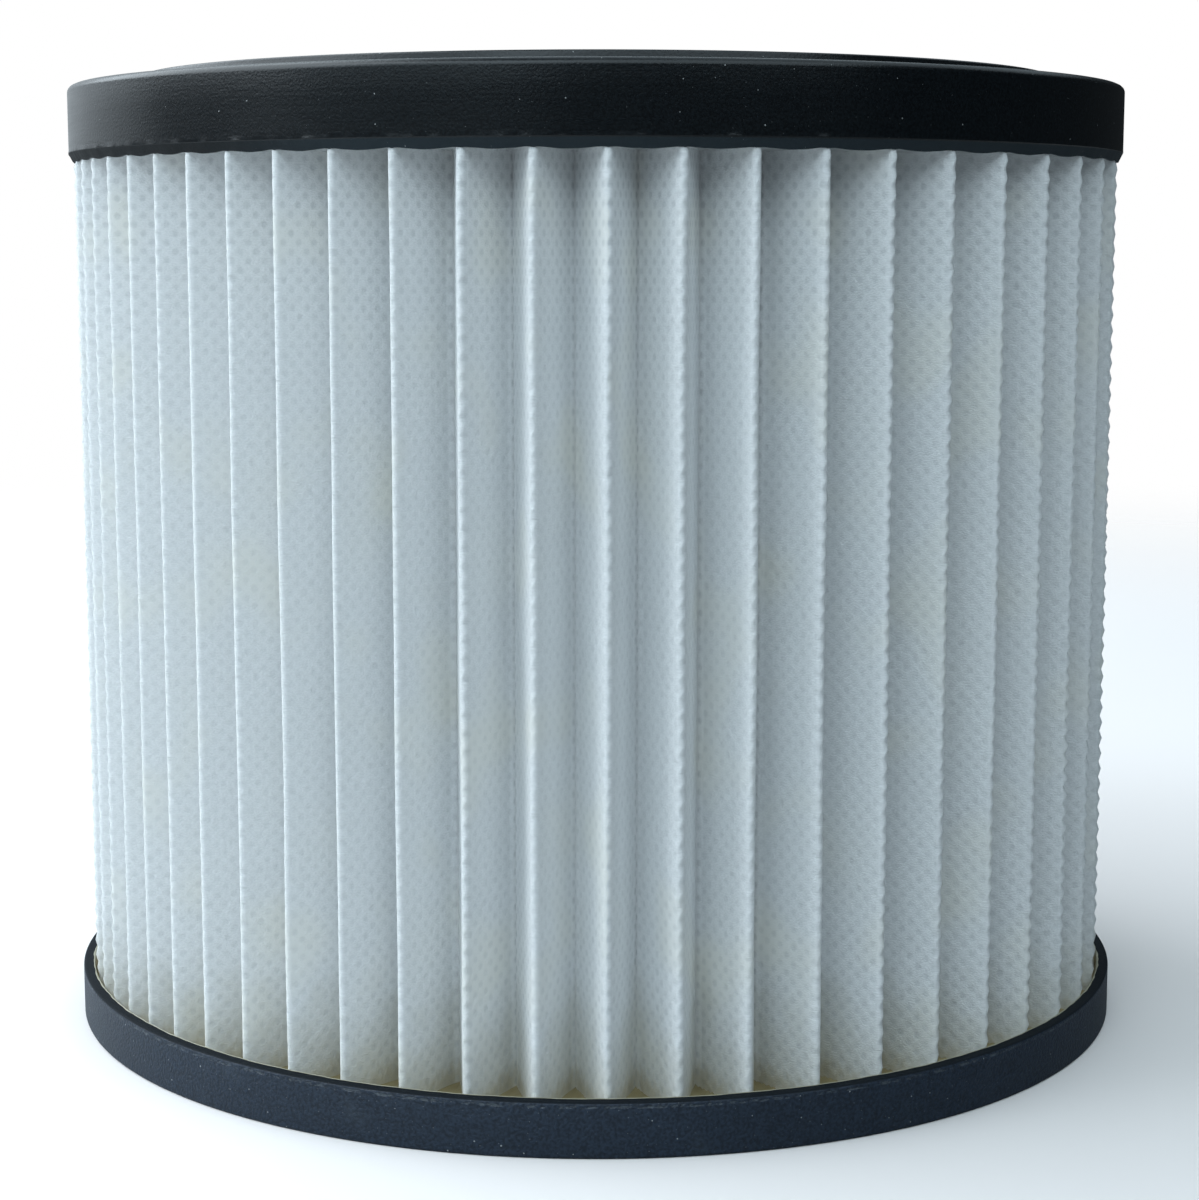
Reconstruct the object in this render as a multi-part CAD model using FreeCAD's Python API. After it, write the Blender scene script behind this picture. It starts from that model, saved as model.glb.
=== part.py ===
import FreeCAD, Part
import math
import os

# Cartridge filter of a vacuum cleaner: a white pleated sheet stands as a loop between two black end caps.
# The top cap is a soft ring cast round the pleat ends, with a bore through which the cleaned air leaves.
# The bottom cap is a closed tray, and the pleats stand in a bed of hot-melt adhesive in its trough.
# A lattice cage inside the loop keeps the suction from pulling the pleats in.
# Millimetres. Z is the filter's axis, z = 0 is the face it stands on, and -Y is its front.

# Pleated sheet
pleat_count = 56
pleat_tip_radius = 79.2    # outside of the outer folds
pleat_depth = 11.6         # from the outside of an outer fold to the inside of an inner fold
exposed_height = 122.9     # pleats in sight between the rim and the top cap
sheet_thickness = 0.6
pleat_crowding = 0.211     # share by which the folds stand closer on the -X side and wider on the +X side
first_fold_turn = 12.43    # degrees of even spacing up to the first fold
seam_fill = 4.0            # how far the seam bead rises up the walls of its fold

# Inner cage
cage_gap = 0.3             # between the inner folds and the cage
cage_thickness = 2.0
cage_rib_count = 20
cage_rib_width = 3.0
cage_window_rows = 3
cage_hoop_height = 3.0

# Top cap
cap_embed = 7.0            # depth to which pleats and cage stand in the cap
cap_roof = 3.8             # cap above the pleat ends, up to the shoulder
cap_skin = 0.1             # cap left outside the outer folds at its underside
cap_bevel = 0.7            # bevel round the underside
shoulder_bevel = 0.8       # bevel round the shoulder
bore_wall = 2.8            # cap between the cage and the bore
bore_lead = 0.8            # bevel at the mouth of the bore
seat_height = 1.6          # raised sealing seat round the bore
seat_width = 7.1           # across the foot of the seat
seat_slope = 0.6           # how far the outside of the seat leans in

# Bottom tray
tray_floor = 2.0
bed_under_pleats = 1.2     # adhesive below the pleat ends
bed_depth = 2.8            # depth to which the pleats stand in the adhesive
rim_lip = 1.7              # rim above the adhesive
tip_clearance = 0.3        # between the outer folds and the rim
rim_wall = 1.7
rim_bevel = 0.5            # bevel round the top of the rim
hub_clearance = 0.2        # between the cage and the hub that it is pushed over
hub_wall = 1.6
hub_plate = 2.0            # plate that closes the tray, level with the rim

# Heights, from the foot up
pleat_bottom = tray_floor + bed_under_pleats
bed_top = pleat_bottom + bed_depth
land = bed_top + rim_lip
cap_under = land + exposed_height
pleat_top = cap_under + cap_embed
shoulder = pleat_top + cap_roof
cap_top = shoulder + seat_height

# Radii, from the outer folds inwards and outwards
pleat_inner_radius = pleat_tip_radius - pleat_depth
cage_outer_radius = pleat_inner_radius - cage_gap
cage_inner_radius = cage_outer_radius - cage_thickness
bore_radius = cage_inner_radius - bore_wall
seat_radius = bore_radius + seat_width
cap_radius = pleat_tip_radius + cap_skin + cap_bevel
trough_radius = pleat_tip_radius + tip_clearance
rim_radius = trough_radius + rim_wall
hub_radius = cage_inner_radius - hub_clearance
recess_radius = hub_radius - hub_wall

axis_foot = FreeCAD.Vector(0, 0, 0)
axis_up = FreeCAD.Vector(0, 0, 1)


def revolved(profile):
    """Solid turned about the axis from a closed profile of radii and heights."""
    points = [FreeCAD.Vector(radius, 0, height) for radius, height in profile]
    wire = Part.makePolygon(points + points[:1])
    return Part.Face(wire).revolve(axis_foot, axis_up, 360)


def prism(outlines, bottom, top):
    """Upright solid between two heights. The first outline is its outside, and a second one is a hole."""
    wires = [Part.makePolygon(outline + outline[:1]) for outline in outlines]
    face = Part.makeFace(wires, "Part::FaceMakerBullseye")
    face.translate(axis_up * bottom)
    return face.extrude(axis_up * (top - bottom))


def fold_point(step, radius, sideways):
    """Point beside a fold, where step counts pleats round the loop from the front."""
    even = math.radians(first_fold_turn) + 2 * math.pi * step / pleat_count
    angle = even - pleat_crowding * math.cos(even)
    outwards = FreeCAD.Vector(math.sin(angle), -math.cos(angle), 0)
    along = FreeCAD.Vector(math.cos(angle), math.sin(angle), 0)
    return outwards * radius + along * sideways


# Sheet: one strip of bonded polyester, folded to and fro and closed to a loop.
# A fold is sharp inside and blunt outside, just wide enough to keep the sheet's thickness round the fold.
wall_lean = math.atan(math.pi * pleat_inner_radius / pleat_count / pleat_depth)
half_crease = sheet_thickness * (1 - math.sin(wall_lean)) / math.cos(wall_lean)
sheet_outside = []
sheet_inside = []
for pleat in range(pleat_count):
    sheet_outside.append(fold_point(pleat, pleat_tip_radius, -half_crease))
    sheet_outside.append(fold_point(pleat, pleat_tip_radius, half_crease))
    sheet_outside.append(fold_point(pleat + 0.5, pleat_inner_radius + sheet_thickness, 0))
    sheet_inside.append(fold_point(pleat, pleat_tip_radius - sheet_thickness, 0))
    sheet_inside.append(fold_point(pleat + 0.5, pleat_inner_radius, -half_crease))
    sheet_inside.append(fold_point(pleat + 0.5, pleat_inner_radius, half_crease))
pleated_sheet = prism([sheet_outside, sheet_inside], pleat_bottom, pleat_top)

# Seam bead: adhesive in an inner fold at the back, where the two ends of the strip meet
seam_step = pleat_count // 2 - 0.5
near_tip = fold_point(seam_step - 0.5, pleat_tip_radius, half_crease)
seam_fold = fold_point(seam_step, pleat_inner_radius + sheet_thickness, 0)
far_tip = fold_point(seam_step + 0.5, pleat_tip_radius, -half_crease)
seam_outline = [
    seam_fold + (near_tip - seam_fold).normalize() * seam_fill,
    seam_fold,
    seam_fold + (far_tip - seam_fold).normalize() * seam_fill,
]
seam_bead = prism([seam_outline], bed_top, cap_under)

# Cage: moulded tube with rows of windows between upright ribs and hoops, pushed over the tray's hub
cage_middle_radius = (cage_outer_radius + cage_inner_radius) / 2
window_width = 2 * math.pi * cage_middle_radius / cage_rib_count - cage_rib_width
row_pitch = (exposed_height - cage_hoop_height) / cage_window_rows
window_height = row_pitch - cage_hoop_height
windows = []
for row in range(cage_window_rows):
    window_foot = land + cage_hoop_height + row * row_pitch
    corner = FreeCAD.Vector(cage_inner_radius - cage_thickness, -window_width / 2, window_foot)
    for column in range(cage_rib_count):
        window = Part.makeBox(3 * cage_thickness, window_width, window_height, corner)
        window.rotate(axis_foot, axis_up, 360 * column / cage_rib_count)
        windows.append(window)
cage_tube = revolved([
    (cage_inner_radius, tray_floor),
    (cage_outer_radius, tray_floor),
    (cage_outer_radius, pleat_top),
    (cage_inner_radius, pleat_top),
])
support_cage = cage_tube.cut(windows)

# Top cap: ring cast round the ends of the pleats and the cage, with a raised seat round its bore
top_end_cap = revolved([
    (bore_radius, cap_under),
    (cap_radius - cap_bevel, cap_under),
    (cap_radius, cap_under + cap_bevel),
    (cap_radius, shoulder - shoulder_bevel),
    (cap_radius - shoulder_bevel, shoulder),
    (seat_radius, shoulder),
    (seat_radius - seat_slope, cap_top),
    (bore_radius + bore_lead, cap_top),
    (bore_radius, cap_top - bore_lead),
]).cut([pleated_sheet, support_cage])

# Bottom tray: moulded cap with a trough between its rim and a raised, closed hub that is hollow from below
bottom_end_cap = revolved([
    (0, land - hub_plate),
    (recess_radius, land - hub_plate),
    (recess_radius, 0),
    (rim_radius, 0),
    (rim_radius, land - rim_bevel),
    (rim_radius - rim_bevel, land),
    (trough_radius, land),
    (trough_radius, tray_floor),
    (hub_radius, tray_floor),
    (hub_radius, land),
    (0, land),
])

# Adhesive bed: fills the trough round the pleat ends, up to a lip below the top of the rim
adhesive_bed = revolved([
    (cage_outer_radius, tray_floor),
    (trough_radius, tray_floor),
    (trough_radius, bed_top),
    (cage_outer_radius, bed_top),
]).cut(pleated_sheet)

nodes = {
    "pleated_sheet": pleated_sheet,
    "seam_bead": seam_bead,
    "support_cage": support_cage,
    "top_end_cap": top_end_cap,
    "bottom_end_cap": bottom_end_cap,
    "adhesive_bed": adhesive_bed,
}
os.makedirs("parts", exist_ok=True)
for name, shape in nodes.items():
    shape.exportStep("parts/" + name + ".step")
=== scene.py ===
import math
import bmesh
import bpy
import numpy as np
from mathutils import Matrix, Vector


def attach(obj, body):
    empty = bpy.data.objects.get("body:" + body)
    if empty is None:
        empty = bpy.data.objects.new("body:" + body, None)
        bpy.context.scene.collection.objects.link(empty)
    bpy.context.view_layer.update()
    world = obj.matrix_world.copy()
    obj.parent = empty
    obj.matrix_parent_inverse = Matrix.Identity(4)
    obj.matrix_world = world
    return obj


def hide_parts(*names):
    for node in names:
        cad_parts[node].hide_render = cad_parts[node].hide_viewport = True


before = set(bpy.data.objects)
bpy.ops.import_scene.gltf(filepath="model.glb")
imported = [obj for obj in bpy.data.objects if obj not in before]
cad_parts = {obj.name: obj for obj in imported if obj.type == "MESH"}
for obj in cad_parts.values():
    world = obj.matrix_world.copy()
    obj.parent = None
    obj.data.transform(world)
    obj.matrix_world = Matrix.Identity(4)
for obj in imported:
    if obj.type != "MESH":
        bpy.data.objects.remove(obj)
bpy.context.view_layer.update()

# Bottom tray: the closed end of the cartridge, a black cap with a low rim and a raised hub in the middle.
# Moulded polypropylene with a fine matt grain. The filter stands on it, so it carries dust and nicks.
mm = 0.001
land_height = 7.7
trough_radius = 79.5
rim_radius = 81.2
hub_radius = 65.1
recess_radius = 63.5
recess_height = 5.7
tray_floor = 2.0
tray_steps = 288
tray_corners = [
    (0, recess_height, 0),
    (recess_radius, recess_height, 0.6),
    (recess_radius, 0, 0.35),
    (rim_radius, 0, 0.45),
    (rim_radius, land_height, 0.42),
    (trough_radius, land_height, 0.15),
    (trough_radius, tray_floor, 0.3),
    (hub_radius, tray_floor, 0.3),
    (hub_radius, land_height, 0.5),
    (0, land_height, 0),
]


def rounded(corners, steps=5):
    """Radii and heights of a turned outline, with an arc of the stated radius at each corner."""
    outline = []
    for here, (radius, height, rounding) in enumerate(corners):
        corner = np.array((radius, height), float)
        if rounding == 0:
            outline.append(corner)
            continue
        back = np.array(corners[here - 1][:2]) - corner
        ahead = np.array(corners[(here + 1) % len(corners)][:2]) - corner
        back = back / np.linalg.norm(back)
        ahead = ahead / np.linalg.norm(ahead)
        half = math.acos(float(back @ ahead)) / 2
        middle = corner + (back + ahead) / np.linalg.norm(back + ahead) * rounding / math.sin(half)
        first = corner + back * rounding / math.tan(half) - middle
        last = corner + ahead * rounding / math.tan(half) - middle
        for share in np.linspace(0, 1, steps + 1):
            spoke = first * (1 - share) + last * share
            outline.append(middle + spoke / np.linalg.norm(spoke) * rounding)
    return np.array(outline)


def turned(name, outline, turns, shaped=None):
    """Closed mesh turned about Z from an outline in millimetres. shaped may move its radii and heights."""
    angle = np.arange(turns) * 2 * math.pi / turns
    radius, around = np.meshgrid(outline[:, 0], angle, indexing="ij")
    height = np.repeat(outline[:, 1:2], turns, axis=1)
    if shaped:
        radius, height = shaped(radius, height, around)
    places = np.stack([radius * np.sin(around), -radius * np.cos(around), height], axis=-1) * mm
    row, column = np.meshgrid(np.arange(len(outline)), np.arange(turns), indexing="ij")
    next_row, next_column = (row + 1) % len(outline), (column + 1) % turns
    faces = np.stack([
        row * turns + column,
        row * turns + next_column,
        next_row * turns + next_column,
        next_row * turns + column,
    ], axis=-1).reshape(-1, 4)
    mesh = bpy.data.meshes.new(name)
    mesh.from_pydata(places.reshape(-1, 3).tolist(), [], faces.tolist())
    shell = bmesh.new()
    shell.from_mesh(mesh)
    bmesh.ops.remove_doubles(shell, verts=shell.verts, dist=0.002 * mm)
    bmesh.ops.dissolve_degenerate(shell, edges=shell.edges, dist=0.001 * mm)
    bmesh.ops.recalc_face_normals(shell, faces=shell.faces)
    shell.to_mesh(mesh)
    shell.free()
    mesh.shade_smooth()
    mesh.set_sharp_from_angle(angle=math.radians(40))
    return mesh


def placed(name, mesh, material):
    """Object at the origin that shows a mesh in one material."""
    piece = bpy.data.objects.new(name, mesh)
    bpy.context.scene.collection.objects.link(piece)
    mesh.materials.clear()
    mesh.materials.append(material)
    return piece


class Wire:
    """An output of a node. Sums on wires add Math nodes to their tree."""

    def __init__(self, tree, socket=None):
        self.tree = tree
        self.socket = socket

    def joined(self, socket, value):
        if isinstance(value, Wire):
            self.tree.links.new(value.socket, socket)
        else:
            socket.default_value = value

    def node(self, kind, settings=(), inputs=(), output=None):
        """Adds a node with its settings, then the values or wires of its inputs."""
        made = self.tree.nodes.new(kind)
        for name, value in dict(settings).items():
            setattr(made, name, value)
        for name, value in dict(inputs).items():
            self.joined(next(s for s in made.inputs if s.name == name and s.enabled), value)
        shown = [s for s in made.outputs if s.enabled and output in (None, s.name)]
        return Wire(self.tree, shown[0] if shown else None)

    def output(self, name):
        return Wire(self.tree, self.socket.node.outputs[name])

    def maths(self, operation, *others):
        made = self.tree.nodes.new("ShaderNodeMath")
        made.operation = operation
        for socket, value in zip(made.inputs, (self, *others)):
            self.joined(socket, value)
        return Wire(self.tree, made.outputs[0])

    def swapped(self, operation, first):
        made = self.tree.nodes.new("ShaderNodeMath")
        made.operation = operation
        self.joined(made.inputs[0], first)
        self.joined(made.inputs[1], self)
        return Wire(self.tree, made.outputs[0])

    def __add__(self, other):
        return self.maths("ADD", other)

    def __radd__(self, other):
        return self.maths("ADD", other)

    def __sub__(self, other):
        return self.maths("SUBTRACT", other)

    def __rsub__(self, other):
        return self.swapped("SUBTRACT", other)

    def __mul__(self, other):
        return self.maths("MULTIPLY", other)

    def __rmul__(self, other):
        return self.maths("MULTIPLY", other)

    def __truediv__(self, other):
        return self.maths("DIVIDE", other)

    def __rtruediv__(self, other):
        return self.swapped("DIVIDE", other)

    def __pow__(self, other):
        return self.maths("POWER", other)

    def ramped(self, low, high):
        """0 at low and 1 at high, eased between. low may lie above high."""
        ends = {"Value": self, "From Min": min(low, high), "From Max": max(low, high)}
        eased = self.node("ShaderNodeMapRange", {"interpolation_type": "SMOOTHSTEP"}, ends)
        return eased if low < high else 1 - eased

    def blended(self, first, second):
        """Colour that goes from first to second as this wire goes from 0 to 1."""
        return self.node("ShaderNodeMix", {"data_type": "RGBA"}, {"Factor": self, "A": first, "B": second})


def new_material(name):
    material = bpy.data.materials.new(name)
    material.use_nodes = True
    material.node_tree.nodes.clear()
    return material, Wire(material.node_tree)


def noise(start, place, size, stretch=(1, 1, 1), detail=2.0, roughness=0.5, dimensions="3D"):
    """Noise from 0 to 1 whose blotches are about size metres across, times the stretch."""
    scale = tuple(1 / (size * share) for share in stretch)
    scaled = start.node("ShaderNodeMapping", {}, {"Vector": place, "Scale": scale})
    return start.node("ShaderNodeTexNoise", {"noise_dimensions": dimensions}, {
        "Vector": scaled, "Scale": 1.0, "Detail": detail, "Roughness": roughness,
    }, "Fac")


def round_axis(start, place):
    """Angle from the front, distance from the axis and height."""
    apart = start.node("ShaderNodeSeparateXYZ", {}, {"Vector": place})
    around = apart.output("X").maths("ARCTAN2", apart.output("Y") * -1)
    from_axis = (apart.output("X") ** 2 + apart.output("Y") ** 2).maths("SQRT")
    return around, from_axis, apart.output("Z")


def laid_out(around, from_axis, height):
    """Turned surface laid flat: metres round the axis at the rim, and metres along the outline."""
    return around.node("ShaderNodeCombineXYZ", {}, {
        "X": around * rim_radius * mm, "Y": height - from_axis,
    })


def specks(start, place, spacing, size, share):
    """1 on small grains that lie on a flat place. The share is that of the cells that hold a grain."""
    cells = start.node("ShaderNodeTexVoronoi", {"voronoi_dimensions": "2D"}, {
        "Vector": place, "Scale": 1 / spacing,
    })
    chance = start.node("ShaderNodeSeparateColor", {}, {"Color": cells.output("Color")}, "Red")
    reach = size / spacing * (0.4 + 0.5 / share * chance)
    return (cells.output("Distance") / reach).ramped(1.0, 0.55) * chance.maths("LESS_THAN", share)


def surface(start, inputs):
    shader = start.node("ShaderNodeBsdfPrincipled", {}, inputs, "BSDF")
    start.node("ShaderNodeOutputMaterial", {}, {"Surface": shader})


def mixed(factor, first, second):
    """Mix Shader, whose two shader inputs have the same name."""
    mixer = factor.node("ShaderNodeMixShader")
    for socket, wire in zip(mixer.socket.node.inputs, (factor, first, second)):
        factor.tree.links.new(wire.socket, socket)
    return mixer


tray_plastic, start = new_material("tray_plastic")
place = start.node("ShaderNodeTexCoord", {}, {}, "Object")
around, from_axis, height = round_axis(start, place)
grain = noise(start, place, 0.42 * mm, detail=3.0)
blotch = noise(start, place, 22 * mm, detail=3.0)
haze = noise(start, place, 9 * mm, detail=5.0, roughness=0.65)
laid_flat = laid_out(around, from_axis, height)
dust = specks(start, laid_flat, 3.4 * mm, 0.17 * mm, 0.35)
fine_dust = specks(start, laid_flat, 1.3 * mm, 0.09 * mm, 0.35)
edge = height.ramped(6.85 * mm, 7.0 * mm) * height.ramped(7.4 * mm, 7.2 * mm)
edge = edge * from_axis.ramped(80.7 * mm, 80.9 * mm)
nicks = noise(start, place, 1.4 * mm, stretch=(1, 1, 0.5), detail=4.0, roughness=0.7).ramped(0.46, 0.62)
worn = edge * nicks
tone = 0.35 * blotch + 0.65 * grain.ramped(0.34, 0.66)
wall_tint = tone.blended((0.0025, 0.0075, 0.0165, 1), (0.0205, 0.0350, 0.0610, 1))
dusty = (haze.ramped(0.54, 0.78) * 0.14).blended(wall_tint, (0.10, 0.12, 0.14, 1))
scuffed = (worn * 0.5).blended(dusty, (0.12, 0.14, 0.155, 1))
speckled = (dust * 0.75 + fine_dust * 0.3).blended(scuffed, (0.50, 0.53, 0.55, 1))
dull_land = height.ramped(7.4 * mm, 7.6 * mm) * from_axis.ramped(79.0 * mm, 79.4 * mm)
moulded = start.node("ShaderNodeBsdfPrincipled", {}, {
    "Base Color": speckled,
    "Roughness": 0.39 + 0.12 * blotch + 0.10 * haze.ramped(0.5, 0.8),
    "IOR": 1.49,
    "Normal": start.node("ShaderNodeBump", {}, {
        "Strength": 0.8,
        "Distance": 0.16 * mm,
        "Height": 1.4 * grain + 0.3 * dust - 0.5 * worn,
    }),
}, "BSDF")
matt_land = start.node("ShaderNodeBsdfPrincipled", {}, {
    "Base Color": (0.006, 0.008, 0.010, 1),
    "Roughness": 0.9,
    "Specular IOR Level": 0.1,
}, "BSDF")
start.node("ShaderNodeOutputMaterial", {}, {"Surface": mixed(dull_land * 0.9, moulded, matt_land)})

tray = placed("bottom_tray", turned("bottom_tray", rounded(tray_corners), tray_steps), tray_plastic)
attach(tray, "root")
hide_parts("bottom_end_cap")

# Support cage: a lattice tube inside the pleats, which keeps the suction from pulling them in.
# Moulded in the same black plastic as the tray, pushed over its hub at the foot and cast into the top cap.
pleat_top = 137.6
cage_sizes = {
    "Ribs": 20,
    "Middle radius": 66.3 * mm,
    "Thickness": 2.0 * mm,
    "Rib width": 3.0 * mm,
    "Foot": tray_floor * mm,
    "Top": pleat_top * mm,
    "First hoop": 10.7 * mm,
    "Last hoop": 127.6 * mm,
    "Hoop height": 3.0 * mm,
    "Edge rounding": 0.45 * mm,
    "Rib inset": 0.5 * mm,
    "Rib share": 0.9,
    "Hoop steps": 168,
    "Edge steps": 3,
}


def new_tree(name, sizes):
    """Empty geometry tree with one named input for each size, and the wire that reads them."""
    tree = bpy.data.node_groups.new(name, "GeometryNodeTree")
    tree.interface.new_socket("Geometry", in_out="OUTPUT", socket_type="NodeSocketGeometry")
    for size, value in sizes.items():
        kind = "NodeSocketInt" if isinstance(value, int) else "NodeSocketFloat"
        tree.interface.new_socket(size, in_out="INPUT", socket_type=kind)
    return tree, Wire(tree).node("NodeGroupInput")


def grown(name, tree, sizes):
    """Plain mesh that a geometry tree makes from these sizes."""
    seed = bpy.data.objects.new(name, bpy.data.meshes.new(name))
    bpy.context.scene.collection.objects.link(seed)
    modifier = seed.modifiers.new(name, "NODES")
    modifier.node_group = tree
    for item in tree.interface.items_tree:
        if item.in_out == "INPUT":
            modifier[item.identifier] = sizes[item.name]
    grown_seed = seed.evaluated_get(bpy.context.evaluated_depsgraph_get())
    mesh = bpy.data.meshes.new_from_object(grown_seed)
    seed.modifiers.remove(modifier)
    bpy.data.objects.remove(seed)
    return mesh


cage_plastic, start = new_material("cage_plastic")
place = start.node("ShaderNodeTexCoord", {}, {}, "Object")
grain = noise(start, place, 0.3 * mm, detail=3.0)
blotch = noise(start, place, 15 * mm, detail=3.0)
dust = specks(start, laid_out(*round_axis(start, place)), 3.5 * mm, 0.12 * mm, 0.4)
tint = blotch.blended((0.014, 0.016, 0.019, 1), (0.022, 0.025, 0.029, 1))
surface(start, {
    "Base Color": (dust * 0.5).blended(tint, (0.35, 0.36, 0.37, 1)),
    "Roughness": 0.46 + 0.14 * blotch,
    "IOR": 1.49,
    "Normal": start.node("ShaderNodeBump", {}, {
        "Strength": 0.3, "Distance": 0.05 * mm, "Height": grain,
    }),
})

tree, sizes = new_tree("cage_lattice", cage_sizes)


def bar_section(width, dot_tone_and_crease_shade):
    """Closed outline of a bar with rounded edges."""
    oblong = sizes.node("GeometryNodeCurvePrimitiveQuadrilateral", {"mode": "RECTANGLE"}, {
        "Width": width, "Height": dot_tone_and_crease_shade,
    })
    return sizes.node("GeometryNodeFilletCurve", {"mode": "POLY"}, {
        "Curve": oblong,
        "Count": sizes.output("Edge steps"),
        "Radius": sizes.output("Edge rounding"),
        "Limit Radius": True,
    })


def upright(height):
    return sizes.node("ShaderNodeCombineXYZ", {}, {"Z": height})


def hoop(bottom, top):
    """Ring of the cage between two heights."""
    ring = sizes.node("GeometryNodeCurvePrimitiveCircle", {"mode": "RADIUS"}, {
        "Resolution": sizes.output("Hoop steps"), "Radius": sizes.output("Middle radius"),
    }, "Curve")
    bar = sizes.node("GeometryNodeCurveToMesh", {}, {
        "Curve": ring, "Profile Curve": bar_section(sizes.output("Thickness"), top - bottom),
    })
    return sizes.node("GeometryNodeTransform", {}, {
        "Geometry": bar, "Translation": upright((top + bottom) / 2),
    })


rib = sizes.node("GeometryNodeCurveToMesh", {}, {
    "Curve": sizes.node("GeometryNodeCurvePrimitiveLine", {}, {
        "Start": upright(sizes.output("Foot") + sizes.output("Rib inset")),
        "End": upright(sizes.output("Top") - sizes.output("Rib inset")),
    }),
    "Profile Curve": bar_section(
        sizes.output("Thickness") * sizes.output("Rib share"), sizes.output("Rib width")),
    "Fill Caps": True,
})
stations = sizes.node("GeometryNodeMeshCircle", {"fill_type": "NONE"}, {
    "Vertices": sizes.output("Ribs"), "Radius": sizes.output("Middle radius"),
})
facing = sizes.node("FunctionNodeAlignRotationToVector", {"axis": "X", "pivot_axis": "Z"}, {
    "Vector": sizes.node("GeometryNodeInputPosition"),
})
ribs = sizes.node("GeometryNodeInstanceOnPoints", {}, {
    "Points": stations, "Instance": rib, "Rotation": facing,
})
first_hoop, last_hoop = sizes.output("First hoop"), sizes.output("Last hoop")
hoop_height = sizes.output("Hoop height")
window_rows = 3
row_pitch = (last_hoop - first_hoop + hoop_height) / window_rows
joined = sizes.node("GeometryNodeJoinGeometry")
for strand in (
    ribs,
    hoop(sizes.output("Foot"), first_hoop),
    hoop(first_hoop + row_pitch - hoop_height, first_hoop + row_pitch),
    hoop(last_hoop - row_pitch, last_hoop - row_pitch + hoop_height),
    hoop(last_hoop, sizes.output("Top")),
):
    tree.links.new(strand.socket, joined.socket.node.inputs["Geometry"])
plain = sizes.node("GeometryNodeRealizeInstances", {}, {"Geometry": joined})
painted = sizes.node("GeometryNodeSetMaterial", {}, {"Geometry": plain, "Material": cage_plastic})
sizes.node("NodeGroupOutput", {}, {"Geometry": painted})

cage_mesh = grown("inner_cage", tree, cage_sizes)
cage_mesh.shade_smooth()
cage_mesh.set_sharp_from_angle(angle=math.radians(50))
cage = placed("inner_cage", cage_mesh, cage_plastic)
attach(cage, "root")
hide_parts("support_cage")

# Adhesive bed: amber hot-melt poured into the tray's trough, in which the foot of the pleats stands.
# It has crept up the fleece in a small fillet and up the rim to a thin lip, and set with a soft gloss.
pleat_count = 56
pleat_crowding = 0.211
first_fold_turn = math.radians(12.43)
tip_radius = 79.2
valley_radius = 67.6
sheet_thickness = 0.6
slow_drift, slow_waves, slow_start = math.radians(0.39), 3, 0.07
quick_drift, quick_waves, quick_start = math.radians(0.21), 5, 0.43
bed_height = 4.8
fillet_height = 0.7
fillet_width = 0.5
climb_height = 2.7
climb_width = 0.35
wall_slant = 0.95
round_steps = 24 * pleat_count


def fold_angle(step):
    """Angle of a fold from the front, with its small drift. step counts pleats round the loop."""
    even = first_fold_turn + 2 * math.pi * step / pleat_count
    drift = slow_drift * np.sin(slow_waves * even + slow_start)
    drift = drift + quick_drift * np.sin(quick_waves * even + quick_start)
    return even - pleat_crowding * np.cos(even) + drift


def fold_step(around):
    """Count of pleats from the front to an angle."""
    steps = np.linspace(-pleat_count, 2 * pleat_count, 60 * pleat_count + 1)
    return np.interp(around, fold_angle(steps), steps)


def wall_distance(radius, around):
    """How far a point between the pleats is from the nearest wall, in millimetres."""
    into_fold = 1 - np.abs(1 - np.mod(2 * fold_step(around), 2))
    tip = tip_radius - sheet_thickness / 2
    valley = valley_radius + sheet_thickness / 2
    wall = np.clip((tip - radius) / (tip - valley), 0, 1)
    gap = np.abs(into_fold - wall) * math.pi * radius / pleat_count
    return gap * wall_slant + np.maximum(radius - tip, 0)


def ripple(around, height, *waves):
    """Slow unevenness round the axis: pairs of a count of waves and their size."""
    return sum(size * np.sin(count * around + 1.7 * count + 0.9 * height) for count, size in waves)


cage_radius = 67.3
trough_lining = [(cage_radius, tray_floor), (trough_radius, tray_floor), (trough_radius, 7.5)]
lip = [(79.62, 7.68), (79.70, 7.74), (79.62, 7.79), (79.48, 7.70)]
bed_radii = np.concatenate([np.linspace(79.42, 78.9, 5), np.linspace(78.5, cage_radius, 13)])
bed_outline = np.array(trough_lining + lip + [(radius, bed_height) for radius in bed_radii])


def crept_bed(radius, height, around):
    """Lets the adhesive climb the rim and the walls of the pleats, and wander at its lip."""
    top = height == bed_height
    climb = climb_height * np.exp((radius - trough_radius) / climb_width)
    fillet = fillet_height * np.exp(-wall_distance(radius, around) / fillet_width)
    swell = ripple(around, radius, (9, 0.04), (23, 0.04), (61, 0.03))
    stray = (radius > trough_radius + 0.1) * ripple(around, 0, (31, 0.05), (77, 0.04), (143, 0.03))
    return radius + stray, height + top * (np.maximum(climb, fillet) + swell)


hot_melt, start = new_material("amber_hot_melt")
place = start.node("ShaderNodeTexCoord", {}, {}, "Object")
cloud = noise(start, place, 6 * mm, detail=3.0)
around, from_axis, height = round_axis(start, place)
bubbles = specks(start, laid_out(around, from_axis, height), 2.2 * mm, 0.25 * mm, 0.4)
skin = noise(start, place, 1.6 * mm, detail=3.0)
amber = cloud.blended((0.27, 0.21, 0.10, 1), (0.42, 0.35, 0.20, 1))
thin = height.ramped(6.4 * mm, 7.6 * mm).blended(amber, (0.36, 0.34, 0.25, 1))
surface(start, {
    "Base Color": (bubbles * 0.4).blended(thin, (0.55, 0.49, 0.33, 1)),
    "Roughness": 0.3 + 0.2 * skin,
    "IOR": 1.5,
    "Normal": start.node("ShaderNodeBump", {}, {
        "Strength": 0.4, "Distance": 0.2 * mm, "Height": skin + bubbles,
    }),
})

bed = placed("hot_melt_bed", turned("hot_melt_bed", bed_outline, round_steps, crept_bed), hot_melt)
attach(bed, "root")
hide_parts("adhesive_bed")

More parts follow.
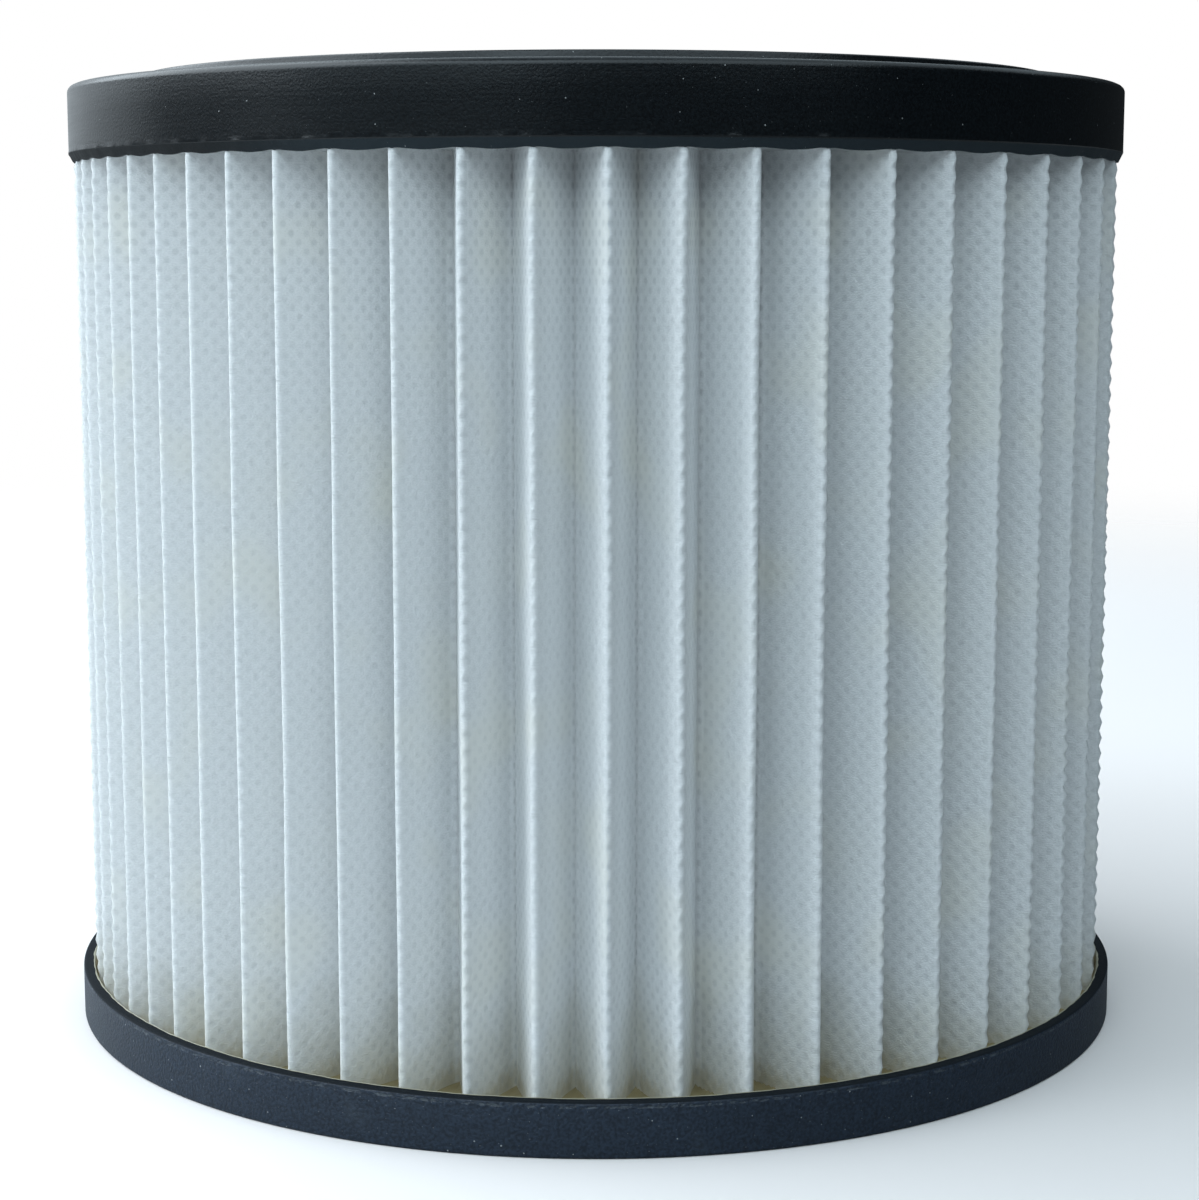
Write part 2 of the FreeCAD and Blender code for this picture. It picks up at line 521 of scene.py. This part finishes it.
# Pleated fleece: one strip of point-bonded polyester, scored, folded to and fro and closed to a loop.
# Its folds are blunt outside and sharp inside, and a lattice of bonding dots is pressed into it.
cap_under = 130.6
fleece_sizes = {
    "Pleats": pleat_count,
    "Columns": 16,
    "Shown rows": 104,
    "Inner rows": 10,
    "Tip radius": tip_radius * mm,
    "Valley radius": valley_radius * mm,
    "Thickness": sheet_thickness * mm,
    "Crowding": pleat_crowding,
    "First turn": first_fold_turn,
    "Slow drift": slow_drift,
    "Quick drift": quick_drift,
    "Foot": 3.2 * mm,
    "Bed": bed_height * mm,
    "Cap": cap_under * mm,
    "Top": pleat_top * mm,
    "Wall length": 11.76 * mm,
    "Fold wander": 0.5 * mm,
    "Wall swell": 0.5 * mm,
    "Edge wave": 0.16 * mm,
}
dot_pitch = 2.42 * mm
wall_length = fleece_sizes["Wall length"]

fleece, start = new_material("point_bonded_fleece")
flat = start.node("ShaderNodeUVMap", {"uv_map": "fleece_flat"})
across = start.node("ShaderNodeSeparateXYZ", {}, {"Vector": flat})
along, height = across.output("X"), across.output("Y")
rising = (along + height) / dot_pitch
falling = (height - along) / dot_pitch
rising_cell = (rising + 0.5).maths("FLOOR")
falling_cell = (falling + 0.5).maths("FLOOR")
from_dot = ((rising - rising_cell) ** 2 + (falling - falling_cell) ** 2).maths("SQRT")
cell = start.node("ShaderNodeCombineXYZ", {}, {"X": rising_cell, "Y": falling_cell})
luck = start.node("ShaderNodeTexWhiteNoise", {"noise_dimensions": "2D"}, {"Vector": cell}, "Value")
dot = from_dot.ramped(0.39, 0.13) * (0.6 + 0.4 * luck)
pillow = (rising * 2 * math.pi).maths("COSINE") + (falling * 2 * math.pi).maths("COSINE")
fibres = noise(start, flat, 0.28 * mm, (1.6, 0.7, 1), detail=2.0, roughness=0.7, dimensions="2D")
tangle = noise(start, flat, 1.1 * mm, (0.8, 1.3, 1), detail=1.0, roughness=0.6, dimensions="2D")
cloud = noise(start, flat, 16 * mm, detail=1.0, dimensions="2D")
into_fold = (along / wall_length).maths("PINGPONG", 1.0)
wick_edge = noise(start, flat, 5 * mm, detail=2.0, dimensions="2D") * 11 * mm + 10 * mm
wick_edge = wick_edge + into_fold * 7 * mm
wicked = (height - wick_edge).ramped(3 * mm, -9 * mm)
mesh_tone = 0.4 * tangle + 0.6 * fibres.ramped(0.3, 0.7)
white = mesh_tone.blended((0.79, 0.80, 0.805, 1), (0.93, 0.935, 0.94, 1))
clouded = cloud.ramped(0.5, 0.8).blended(white, (0.88, 0.875, 0.84, 1))
stained = (wicked * 0.31).blended(clouded, (0.50, 0.47, 0.36, 1))
soak_edge = bed_height * mm + tangle * 2.5 * mm + into_fold * 2.5 * mm
soaked = ((height - soak_edge).ramped(1.5 * mm, -2 * mm) * 0.5).blended(stained, (0.42, 0.35, 0.20, 1))
near_ends = height.ramped(80 * mm, 128 * mm) + height.ramped(45 * mm, 12 * mm)
near_cap = height.ramped(104 * mm, 126 * mm)
# Dots have a grey of their own. They are painted darker towards the valleys as painted shade in the
# creases, and are darker near the top and the foot of the sheet.
dot_tone_and_crease_shade = 0.11 + 0.04 * into_fold + 0.16 * into_fold.ramped(0.86, 0.97)
dots_and_crease_shade = dot * (dot_tone_and_crease_shade + 0.08 * near_ends + 0.07 * near_cap)
dotted = dots_and_crease_shade.blended(soaked, (0.36, 0.38, 0.39, 1))
surface(start, {
    "Base Color": dotted,
    "Roughness": 0.92 - 0.2 * dot,
    "IOR": 1.45,
    "Specular IOR Level": 0.25,
    "Normal": start.node("ShaderNodeBump", {}, {
        "Strength": 0.8,
        "Distance": 0.3 * mm,
        "Height": -0.05 * pillow - 0.1 * dot + 0.36 * fibres + 0.25 * tangle,
    }),
})

tree, sizes = new_tree("pleat_folds", fleece_sizes)
shown = sizes.output("Shown rows")
inner = sizes.output("Inner rows")
columns = sizes.output("Pleats") * sizes.output("Columns")
rows = shown + inner + 4
grid = sizes.node("GeometryNodeMeshGrid", {}, {
    "Size X": columns, "Size Y": rows, "Vertices X": columns + 1, "Vertices Y": rows + 1,
}, "Mesh")
spot = sizes.node("ShaderNodeSeparateXYZ", {}, {"Vector": sizes.node("GeometryNodeInputPosition")})
column = (spot.output("X") + columns / 2).maths("ROUND")
row = (spot.output("Y") + rows / 2).maths("ROUND")

# Up the outside of the sheet, down its inside, and back to the outside at the foot
last = row.maths("GREATER_THAN", rows - 0.5)
inside = row.maths("GREATER_THAN", shown + 2.5) * (1 - last)
below = row.maths("LESS_THAN", 0.5)
above = row.maths("GREATER_THAN", shown + 1.5)
shown_row = row.maths("MAXIMUM", 1.0).maths("MINIMUM", shown + 1) - 1
outside_height = (
    sizes.output("Bed") + shown_row * (sizes.output("Cap") - sizes.output("Bed")) / shown
    + below * (sizes.output("Foot") - sizes.output("Bed"))
    + above * (sizes.output("Top") - sizes.output("Cap"))
)
way_down = (row - shown - 3) / inner
inside_height = sizes.output("Top") - way_down * (sizes.output("Top") - sizes.output("Foot"))
level = inside * inside_height + (1 - inside - last) * outside_height + last * sizes.output("Foot")
outside = 1 - inside

# A quarter of a wall's columns goes round the tip, a quarter round the valley, and the rest down the wall
step = column / sizes.output("Columns")
doubled = step * 2
into_fold = doubled.maths("PINGPONG", 1.0)
rightward = 1 - 2 * doubled.maths("FLOOR").maths("MODULO", 2.0)
tip_turn = (1 - into_fold * 4).maths("MAXIMUM", 0.0)
valley_turn = (into_fold * 4 - 3).maths("MAXIMUM", 0.0)
wall_share = into_fold.ramped(0.25, 0.75)


def fold_spoke(fold):
    """Direction from the axis to a fold."""
    even = sizes.output("First turn") + 2 * math.pi * fold / sizes.output("Pleats")
    drift = sizes.output("Slow drift") * (even * slow_waves + slow_start).maths("SINE")
    drift = drift + sizes.output("Quick drift") * (even * quick_waves + quick_start).maths("SINE")
    angle = even - sizes.output("Crowding") * even.maths("COSINE") + drift
    return angle.maths("SINE"), angle.maths("COSINE") * -1


def length_of(x, y):
    return (x ** 2 + y ** 2).maths("SQRT")


def turned_from(first, second, share):
    """Unit direction that swings from one to another."""
    x, y = ((1 - share) * start + share * end for start, end in zip(first, second))
    size = length_of(x, y)
    return x / size, y / size


# The sheet is sharp inside each fold, at the middle of the arc that it makes outside
thickness = sizes.output("Thickness")
tip = fold_spoke((step + 0.5).maths("FLOOR"))
valley = fold_spoke(step.maths("FLOOR") + 0.5)
tip_fold = [part * (sizes.output("Tip radius") - thickness) for part in tip]
valley_fold = [part * (sizes.output("Valley radius") + thickness) for part in valley]
span = [end - start for start, end in zip(tip_fold, valley_fold)]
distance = length_of(*span)
ahead = [part / distance for part in span]
square = (ahead[1] * rightward, ahead[0] * rightward * -1)
lean = thickness / distance
upright = (1 - lean ** 2).maths("SQRT")
out = [upright * across + lean * along for across, along in zip(square, ahead)]
run = [upright * along - lean * across for across, along in zip(square, ahead)]
tip_arc = turned_from(out, tip, tip_turn)
valley_arc = turned_from(out, valley, valley_turn)

# Folds wander and walls swell a little, and the outer folds are wavy where they cross the dots
middle = [start + way * wall_share for start, way in zip(tip_fold, span)]
across_scale, upright_scale = 120, 28
rough_place = sizes.node("ShaderNodeCombineXYZ", {}, {
    "X": middle[0] * across_scale, "Y": middle[1] * across_scale, "Z": level * upright_scale,
})
rough = sizes.node("ShaderNodeTexNoise", {}, {
    "Vector": rough_place, "Scale": 1.0, "Detail": 1.0,
}, "Color")
wander = sizes.node("ShaderNodeSeparateXYZ", {}, {"Vector": rough})
sway = sizes.output("Fold wander") * (1 - wall_share) * (wander.output("X") - 0.5)
swell = sizes.output("Wall swell") * (wall_share * math.pi).maths("SINE") * (wander.output("Y") - 0.5)
beat = (row * math.pi).maths("COSINE") * (0.3 + 1.4 * wander.output("Z"))
wave = sizes.output("Edge wave") * beat * tip_turn * outside * (1 - below) * (1 - above)
tip_side = (tip[1] * -1, tip[0])
pleat_x, pleat_y = (
    tip_fold[here] + run[here] * distance * upright * wall_share
    + thickness * (outside * tip_arc[here] + inside * (out[here] - valley_arc[here]))
    + sway * tip_side[here] + swell * out[here] + wave * (tip[here] + tip_side[here])
    for here in (0, 1)
)

round_fold = 0.03
share = round_fold * (1 - tip_turn) + (1 - 2 * round_fold) * wall_share + round_fold * valley_turn
unrolled = doubled.maths("FLOOR") + (1 - rightward) / 2 + rightward * share
mapped = sizes.node("GeometryNodeStoreNamedAttribute", {"data_type": "FLOAT2", "domain": "CORNER"}, {
    "Geometry": grid,
    "Name": "fleece_flat",
    "Value": sizes.node("ShaderNodeCombineXYZ", {}, {
        "X": unrolled * sizes.output("Wall length"), "Y": level,
    }),
})
folded = sizes.node("GeometryNodeSetPosition", {}, {
    "Geometry": mapped,
    "Position": sizes.node("ShaderNodeCombineXYZ", {}, {"X": pleat_x, "Y": pleat_y, "Z": level}),
})
closed = sizes.node("GeometryNodeMergeByDistance", {}, {"Geometry": folded, "Distance": 0.004 * mm})
smooth = sizes.node("GeometryNodeSetShadeSmooth", {}, {"Geometry": closed, "Shade Smooth": True})
plain = sizes.node("GeometryNodeRealizeInstances", {}, {"Geometry": smooth})
painted = sizes.node("GeometryNodeSetMaterial", {}, {"Geometry": plain, "Material": fleece})
sizes.node("NodeGroupOutput", {}, {"Geometry": painted})

sheet = placed("pleated_fleece", grown("pleated_fleece", tree, fleece_sizes), fleece)
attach(sheet, "root")
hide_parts("pleated_sheet")

# Seam bead: a run of hot-melt in one outer groove at the back, where the two ends of the strip meet.
# It was laid from a nozzle before the loop was closed, so it is a little uneven along its length.
seam_step = pleat_count // 2 - 0.5
seam_fill = 4.0
seam_rows = 90
seam_bends = 7
seam_dip = 0.28


def flat_point(step, radius):
    angle = float(fold_angle(np.array(step)))
    return np.array((radius * math.sin(angle), -radius * math.cos(angle)))


groove = flat_point(seam_step, valley_radius + sheet_thickness + 0.05)
groove_walls = [flat_point(seam_step + turn, tip_radius) - groove for turn in (-0.5, 0.5)]
groove_walls = [wall / np.linalg.norm(wall) for wall in groove_walls]
bead = bmesh.new()
rings = []
for level in np.linspace(bed_height, cap_under, seam_rows):
    fill = seam_fill + 0.25 * math.sin(0.31 * level) + 0.2 * math.sin(0.83 * level + 1)
    ring = [groove]
    for bend in np.linspace(0, 1, seam_bends):
        spoke = groove_walls[0] * (1 - bend) + groove_walls[1] * bend
        ring.append(groove + spoke * fill * (1 - seam_dip * math.sin(math.pi * bend)))
    rings.append([bead.verts.new((x * mm, y * mm, level * mm)) for x, y in ring])
for lower, upper in zip(rings, rings[1:]):
    for here in range(len(lower)):
        after = (here + 1) % len(lower)
        bead.faces.new((lower[here], lower[after], upper[after], upper[here]))
bead.faces.new(rings[0])
bead.faces.new(rings[-1])
bmesh.ops.recalc_face_normals(bead, faces=bead.faces)
bead_mesh = bpy.data.meshes.new("seam_line")
bead.to_mesh(bead_mesh)
bead.free()
bead_mesh.shade_smooth()
bead_mesh.set_sharp_from_angle(angle=math.radians(50))
seam = placed("seam_line", bead_mesh, hot_melt)
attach(seam, "root")
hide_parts("seam_bead")

# Top cap: a soft black ring with a raised sealing seat round its bore, where the cleaned air leaves.
# Polyurethane, cast in an open mould round the ends of pleats and cage, so it shows flow lines and flash.
cap_radius = 80.0
bore_radius = 62.5
bevel = 0.7
shoulder = 141.4
seat_top = 143.0
film_reach = 0.35
lip_width = 0.5
flash_drop = 0.6
sag_depth, sag_radius, sag_width = 0.4, 78.9, 1.2
bevel_rise, risen_turn = 0.5, 0.3
torn_turn, torn_reach = math.radians(88), 0.25
underside_steps = 14
cap_corners = [
    (bore_radius, cap_under, 0.4),
    (cap_radius - bevel, cap_under, 0.12),
    (cap_radius, cap_under + bevel, 0.12),
    (cap_radius, cap_under + 1.4, 0),
    (cap_radius, cap_under + 1.9, 0),
    (cap_radius, cap_under + 6.0, 0),
    (cap_radius, shoulder, 0.95),
    (69.6, shoulder, 0.3),
    (69.35, seat_top, 0.3),
    (bore_radius, seat_top, 0.7),
]
cap_edges = rounded(cap_corners)
bore_foot = int(np.argmax(cap_edges[:, 0] > 70)) - 1
underside_radii = np.linspace(66.0, sag_radius, underside_steps)
underside = np.stack([underside_radii, np.full(underside_steps, cap_under)], axis=1)
cap_outline = np.concatenate([cap_edges[: bore_foot + 1], underside, cap_edges[bore_foot + 1 :]])


def cast_cap(radius, height, around):
    """Lets the rubber creep down the pleats, sag between their tips and set with a ragged lower edge."""
    under = (height < cap_under + 0.05) * (radius > 65)
    film = film_reach * np.exp(-wall_distance(radius, around) / film_reach) * under
    lower = np.exp(-((height - cap_under - bevel / 2) / lip_width) ** 2) * (radius > 78.8)
    flash = ripple(around, 0, (37, 0.03), (83, 0.03), (171, 0.03))
    left = np.exp(-(np.mod(around + torn_turn, 2 * math.pi) / torn_reach) ** 2)
    ragged = left * ripple(around, 0, (211, 0.12), (317, 0.10))
    bulge = np.exp(-((radius - sag_radius) / sag_width) ** 2) * (height < cap_under + 0.3)
    droop = sag_depth * bulge * np.abs(np.sin(math.pi * fold_step(around)))
    edge = (np.abs(height - cap_under - bevel) < 0.25) * (radius > 79.7)
    filled = bevel_rise * edge * (0.5 + 0.5 * np.cos(around - risen_turn))
    dropped = height - film - droop + filled + lower * flash * flash_drop
    return radius + lower * (flash + ragged), dropped


cast_rubber, start = new_material("cast_rubber")
place = start.node("ShaderNodeTexCoord", {}, {}, "Object")
around, from_axis, height = round_axis(start, place)
flow = noise(start, place, 0.35 * mm, stretch=(45, 45, 1), detail=3.0)
broad_flow = noise(start, place, 1.6 * mm, stretch=(30, 30, 1), detail=2.0)
grain = noise(start, place, 0.34 * mm, detail=2.0)
blotch = noise(start, place, 18 * mm, detail=3.0)
laid_flat = laid_out(around, from_axis, height)
dust = specks(start, laid_flat, 5.0 * mm, 0.14 * mm, 0.35)
fine_dust = specks(start, laid_flat, 1.7 * mm, 0.07 * mm, 0.3)
tone = 0.25 * blotch + 0.75 * grain.ramped(0.37, 0.63)
tint = tone.blended((0.0004, 0.0012, 0.0022, 1), (0.0044, 0.0070, 0.0092, 1))
among_pleats = from_axis.ramped(66.8 * mm, 67.6 * mm) * from_axis.ramped(79.2 * mm, 78.6 * mm)
film = height.ramped(130.9 * mm, 130.7 * mm) * among_pleats
dull = height.ramped(131.75 * mm, 131.5 * mm) * (1 - film)
rightward = start.node("ShaderNodeSeparateXYZ", {}, {"Vector": place}, "X")
# The lower band is painted a lighter blue-grey as a painted reflection of the floor, and is left dark on
# the left side.
painted_floor_reflection = dull * rightward.ramped(-55 * mm, -30 * mm)
matt = (painted_floor_reflection * 0.9).blended(tint, (0.017, 0.029, 0.038, 1))
filmed = (film * 0.9).blended(matt, (0.78, 0.79, 0.79, 1))
surface(start, {
    "Base Color": (dust * 0.7 + fine_dust * 0.3).blended(filmed, (0.45, 0.46, 0.46, 1)),
    "Roughness": 0.22 + 0.07 * blotch + 0.08 * flow + 0.5 * dull,
    "IOR": 1.48,
    "Normal": start.node("ShaderNodeBump", {}, {
        "Strength": 0.6,
        "Distance": 0.07 * mm,
        "Height": 0.2 * flow + 0.1 * broad_flow + 0.7 * grain + 0.4 * dust,
    }),
})

cap = placed("top_cap", turned("top_cap", cap_outline, round_steps, cast_cap), cast_rubber)
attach(cap, "root")
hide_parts("top_end_cap")

# Studio: a plain pale table under a large cool window on the left, in a room whose other walls are dim.
# The camera stands where the photograph was taken, a little above the middle of the filter.
table_paint, start = new_material("table_paint")
place = start.node("ShaderNodeTexCoord", {}, {}, "Object")
from_filter = start.node("ShaderNodeVectorMath", {"operation": "LENGTH"}, {"Vector": place}, "Value")
pale = noise(start, place, 0.2).blended((0.88, 0.82, 0.80, 1), (0.92, 0.86, 0.84, 1))
rightward = start.node("ShaderNodeSeparateXYZ", {}, {"Vector": place}, "X")
# For bounce and reflections the table is grey, painted lighter on the window side as painted light. The
# camera sees it evenly pale.
window_side = rightward.ramped(0.15, -0.10) ** 2
bounced = window_side.blended((0.20, 0.20, 0.20, 1), (0.46, 0.46, 0.46, 1))
seen = start.node("ShaderNodeLightPath", {}, {}, "Is Camera Ray")
surface(start, {
    "Base Color": seen.blended(bounced, pale),
    "Roughness": 0.8,
    "Alpha": from_filter.ramped(0.9, 0.35),
})
table_mesh = bpy.data.meshes.new("table")
reach = 2.0
table_mesh.from_pydata(
    [(-reach, -reach, 0), (reach, -reach, 0), (reach, reach, 0), (-reach, reach, 0)], [], [(0, 1, 2, 3)])
table = placed("table", table_mesh, table_paint)

world = bpy.data.worlds.new("studio")
bpy.context.scene.world = world
world.use_nodes = True
world.node_tree.nodes.clear()
start = Wire(world.node_tree)
room = start.node("ShaderNodeBackground", {}, {"Color": (0.80, 0.92, 1.0, 1), "Strength": 0.025})
backdrop = start.node("ShaderNodeBackground", {}, {"Color": (1.0, 1.0, 1.0, 1), "Strength": 1.0})
seen = start.node("ShaderNodeLightPath", {}, {}, "Is Camera Ray")
start.node("ShaderNodeOutputWorld", {}, {"Surface": mixed(seen, room, backdrop)})

light_distance = 1.4
light_aim = 0.07


def soft_light(name, around, above, width, height, power, colour):
    """Area light turned to the filter, at angles from the front and above the table."""
    lamp = bpy.data.lights.new(name, "AREA")
    lamp.shape = "RECTANGLE"
    lamp.size, lamp.size_y = width, height
    lamp.energy = power
    lamp.color = colour
    turn, rise = math.radians(around), math.radians(above)
    way = Vector((math.sin(turn) * math.cos(rise), -math.cos(turn) * math.cos(rise), math.sin(rise)))
    stand = bpy.data.objects.new(name, lamp)
    stand.location = way * light_distance + Vector((0, 0, light_aim))
    stand.rotation_euler = way.to_track_quat("Z", "Y").to_euler()
    bpy.context.scene.collection.objects.link(stand)


daylight = (0.83, 0.93, 1.0)
skylight = (0.745, 0.91, 1.0)
soft_light("window", -100, 40, 2.0, 1.4, 29.6, daylight)
soft_light("back_window", -147, 20, 2.4, 0.9, 6.4, daylight)
soft_light("left_wall", -40, 36, 1.4, 1.2, 6.3, skylight)
soft_light("ceiling", 13, 46, 2.0, 1.2, 12.2, skylight)
soft_light("back_room", 150, 62, 2.4, 1.8, 9.5, skylight)

lens = bpy.data.cameras.new("camera")
lens.sensor_width = 36.0
lens.lens = 76.39
lens.shift_x = 0.00298
lens.clip_start = 0.01
lens.clip_end = 50.0
camera = bpy.data.objects.new("camera", lens)
camera.location = (0.0, -0.4001, 0.1192)
camera.rotation_euler = (math.radians(90 - 8.093), 0.0, 0.0)
bpy.context.scene.collection.objects.link(camera)
bpy.context.scene.camera = camera
bpy.context.scene.view_settings.view_transform = "Standard"
